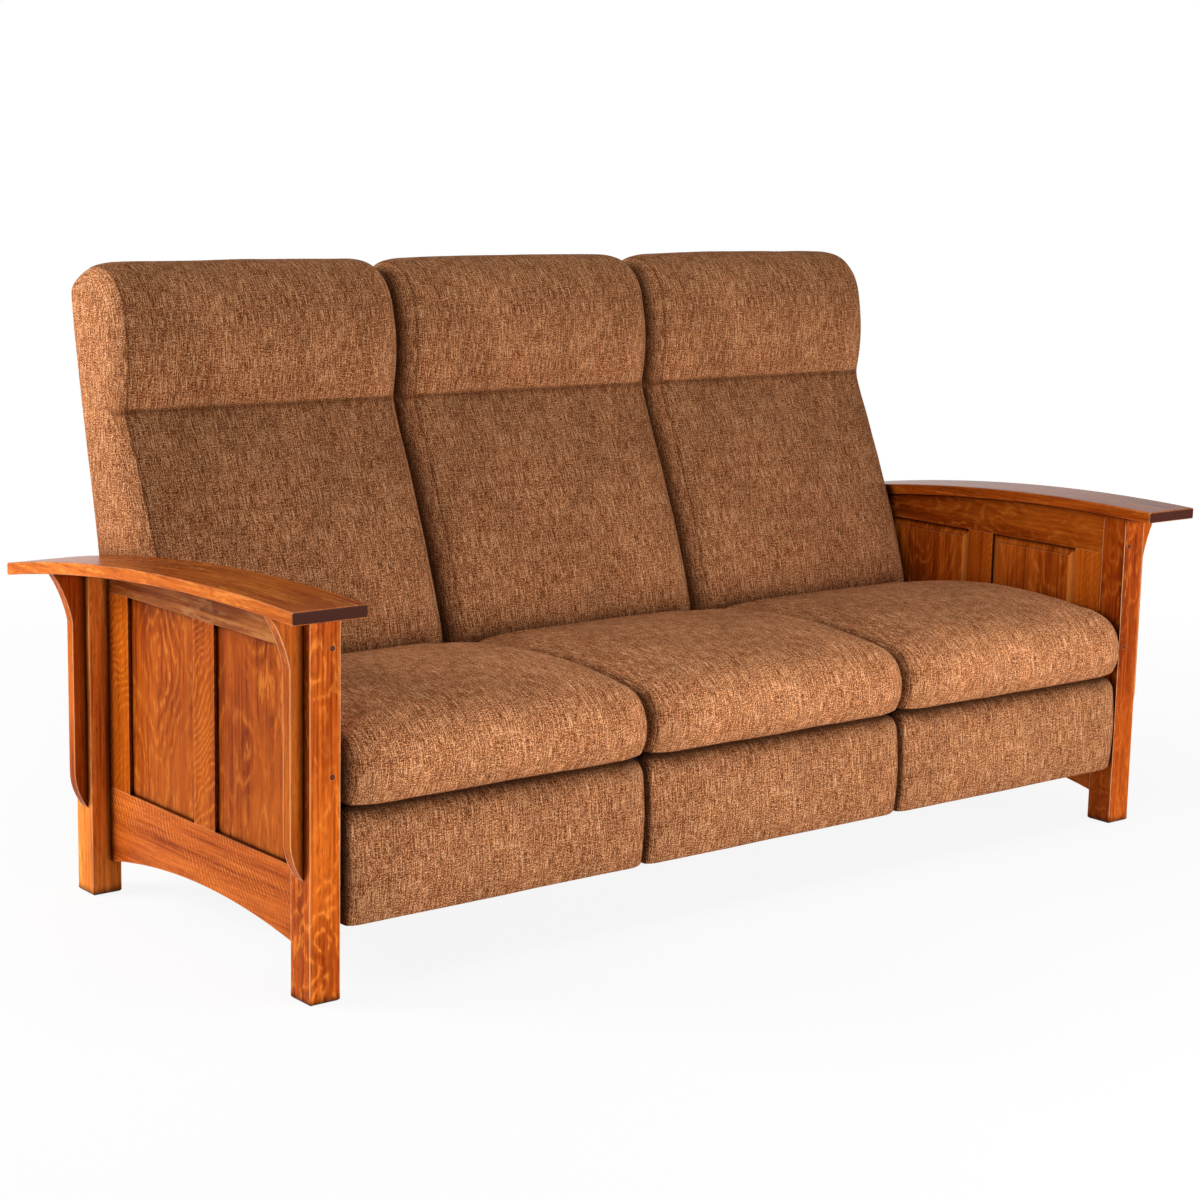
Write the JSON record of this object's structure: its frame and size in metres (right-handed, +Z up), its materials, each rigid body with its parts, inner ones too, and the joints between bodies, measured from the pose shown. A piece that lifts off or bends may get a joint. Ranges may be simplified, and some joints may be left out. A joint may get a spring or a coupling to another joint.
{
  "type": "reclining sofa",
  "caption": "Mission-style reclining sofa with bow-arm oak ends, upholstered seats and high backs that recline, and footrests that swing out.",
  "frame": {"origin": "on the floor under the middle of the whole sofa", "axes": "+X to the sitter's left along the sofa, -Y to the front, +Z up"},
  "size_m": [2.1466, 1.002, 1.1346],
  "materials": {
    "oak": "stained quarter-sawn oak, satin lacquer",
    "peg_wood": "dark stained pegs",
    "frame_wood": "plain hardwood, unfinished",
    "plywood": "plain plywood",
    "steel": "black painted steel",
    "spring_steel": "plain spring wire",
    "upholstery": "rust-brown chenille with slubs"
  },
  "bodies": {
    "root": {"left_front_post": "oak", "right_front_post": "oak", "left_rear_post": "oak", "right_rear_post": "oak", "left_arm": "oak", "right_arm": "oak", "left_top_rail": "oak", "right_top_rail": "oak", "left_bottom_rail": "oak", "right_bottom_rail": "oak", "stiles": "oak", "panels": "oak", "corbels": "oak", "pegs": "peg_wood", "stretchers": "frame_wood", "corner_brackets": "steel", "tracks": "steel"},
    "left_seat": {"left_seat_frame": "frame_wood", "left_seat_springs": "spring_steel", "left_seat_cushion": "upholstery", "left_side_plates": "steel"},
    "left_back": {"left_back_frame": "frame_wood", "left_back_cushion": "upholstery", "left_back_brackets": "steel"},
    "left_drive": {"left_drive_links": "steel"},
    "left_guide": {"left_guide_links": "steel"},
    "left_coupler": {"left_coupler_links": "steel"},
    "left_tie": {"left_tie_links": "steel"},
    "left_footrest": {"left_footrest_brackets": "steel", "left_footrest_board": "plywood", "left_footrest_pad": "upholstery"},
    "middle_seat": {"middle_seat_frame": "frame_wood", "middle_seat_springs": "spring_steel", "middle_seat_cushion": "upholstery", "middle_side_plates": "steel"},
    "middle_back": {"middle_back_frame": "frame_wood", "middle_back_cushion": "upholstery", "middle_back_brackets": "steel"},
    "middle_drive": {"middle_drive_links": "steel"},
    "middle_guide": {"middle_guide_links": "steel"},
    "middle_coupler": {"middle_coupler_links": "steel"},
    "middle_tie": {"middle_tie_links": "steel"},
    "middle_footrest": {"middle_footrest_brackets": "steel", "middle_footrest_board": "plywood", "middle_footrest_pad": "upholstery"},
    "right_seat": {"right_seat_frame": "frame_wood", "right_seat_springs": "spring_steel", "right_seat_cushion": "upholstery", "right_side_plates": "steel"},
    "right_back": {"right_back_frame": "frame_wood", "right_back_cushion": "upholstery", "right_back_brackets": "steel"},
    "right_drive": {"right_drive_links": "steel"},
    "right_guide": {"right_guide_links": "steel"},
    "right_coupler": {"right_coupler_links": "steel"},
    "right_tie": {"right_tie_links": "steel"},
    "right_footrest": {"right_footrest_brackets": "steel", "right_footrest_board": "plywood", "right_footrest_pad": "upholstery"}
  },
  "joints": [
    {"name": "left_slide", "type": "slide", "parent": "root", "child": "left_seat", "axis": [0, -1, 0], "range_m": [0, 0.16]},
    {"name": "left_recline", "type": "hinge", "parent": "left_seat", "child": "left_back", "pos_m": [0.624, 0.165, 0.3], "axis": [-1, 0, 0], "range_deg": [0, 26]},
    {"name": "left_footrest", "type": "hinge", "parent": "left_seat", "child": "left_drive", "pos_m": [0.624, -0.325, 0.284], "axis": [-1, 0, 0], "range_deg": [0, 98]},
    {"name": "left_guide", "type": "hinge", "parent": "left_seat", "child": "left_guide", "pos_m": [0.624, -0.365, 0.302], "axis": [-1, 0, 0], "range_deg": [0, 98]},
    {"name": "left_coupler", "type": "hinge", "parent": "left_drive", "child": "left_coupler", "pos_m": [0.624, -0.25272, 0.11371], "axis": [-1, 0, 0], "range_deg": [-98, 0]},
    {"name": "left_tie", "type": "hinge", "parent": "left_drive", "child": "left_tie", "pos_m": [0.624, -0.26227, 0.16787], "axis": [-1, 0, 0], "range_deg": [-98, 0]},
    {"name": "left_pad", "type": "hinge", "parent": "left_coupler", "child": "left_footrest", "pos_m": [0.624, -0.379, 0.23], "axis": [-1, 0, 0], "range_deg": [0, 98]},
    {"name": "middle_slide", "type": "slide", "parent": "root", "child": "middle_seat", "axis": [0, -1, 0], "range_m": [0, 0.16]},
    {"name": "middle_recline", "type": "hinge", "parent": "middle_seat", "child": "middle_back", "pos_m": [0, 0.165, 0.3], "axis": [-1, 0, 0], "range_deg": [0, 26]},
    {"name": "middle_footrest", "type": "hinge", "parent": "middle_seat", "child": "middle_drive", "pos_m": [0, -0.325, 0.284], "axis": [-1, 0, 0], "range_deg": [0, 98]},
    {"name": "middle_guide", "type": "hinge", "parent": "middle_seat", "child": "middle_guide", "pos_m": [0, -0.365, 0.302], "axis": [-1, 0, 0], "range_deg": [0, 98]},
    {"name": "middle_coupler", "type": "hinge", "parent": "middle_drive", "child": "middle_coupler", "pos_m": [0, -0.25272, 0.11371], "axis": [-1, 0, 0], "range_deg": [-98, 0]},
    {"name": "middle_tie", "type": "hinge", "parent": "middle_drive", "child": "middle_tie", "pos_m": [0, -0.26227, 0.16787], "axis": [-1, 0, 0], "range_deg": [-98, 0]},
    {"name": "middle_pad", "type": "hinge", "parent": "middle_coupler", "child": "middle_footrest", "pos_m": [0, -0.379, 0.23], "axis": [-1, 0, 0], "range_deg": [0, 98]},
    {"name": "right_slide", "type": "slide", "parent": "root", "child": "right_seat", "axis": [0, -1, 0], "range_m": [0, 0.16]},
    {"name": "right_recline", "type": "hinge", "parent": "right_seat", "child": "right_back", "pos_m": [-0.624, 0.165, 0.3], "axis": [-1, 0, 0], "range_deg": [0, 26]},
    {"name": "right_footrest", "type": "hinge", "parent": "right_seat", "child": "right_drive", "pos_m": [-0.624, -0.325, 0.284], "axis": [-1, 0, 0], "range_deg": [0, 98]},
    {"name": "right_guide", "type": "hinge", "parent": "right_seat", "child": "right_guide", "pos_m": [-0.624, -0.365, 0.302], "axis": [-1, 0, 0], "range_deg": [0, 98]},
    {"name": "right_coupler", "type": "hinge", "parent": "right_drive", "child": "right_coupler", "pos_m": [-0.624, -0.25272, 0.11371], "axis": [-1, 0, 0], "range_deg": [-98, 0]},
    {"name": "right_tie", "type": "hinge", "parent": "right_drive", "child": "right_tie", "pos_m": [-0.624, -0.26227, 0.16787], "axis": [-1, 0, 0], "range_deg": [-98, 0]},
    {"name": "right_pad", "type": "hinge", "parent": "right_coupler", "child": "right_footrest", "pos_m": [-0.624, -0.379, 0.23], "axis": [-1, 0, 0], "range_deg": [0, 98]}
  ],
  "couplings": [
    {"joint": "left_slide", "follows": "left_recline", "m_per_rad": 0.35258},
    {"joint": "left_guide", "follows": "left_footrest", "ratio": 1},
    {"joint": "left_coupler", "follows": "left_footrest", "ratio": -1},
    {"joint": "left_tie", "follows": "left_footrest", "ratio": -1},
    {"joint": "left_pad", "follows": "left_footrest", "ratio": 1},
    {"joint": "middle_slide", "follows": "middle_recline", "m_per_rad": 0.35258},
    {"joint": "middle_guide", "follows": "middle_footrest", "ratio": 1},
    {"joint": "middle_coupler", "follows": "middle_footrest", "ratio": -1},
    {"joint": "middle_tie", "follows": "middle_footrest", "ratio": -1},
    {"joint": "middle_pad", "follows": "middle_footrest", "ratio": 1},
    {"joint": "right_slide", "follows": "right_recline", "m_per_rad": 0.35258},
    {"joint": "right_guide", "follows": "right_footrest", "ratio": 1},
    {"joint": "right_coupler", "follows": "right_footrest", "ratio": -1},
    {"joint": "right_tie", "follows": "right_footrest", "ratio": -1},
    {"joint": "right_pad", "follows": "right_footrest", "ratio": 1}
  ]
}
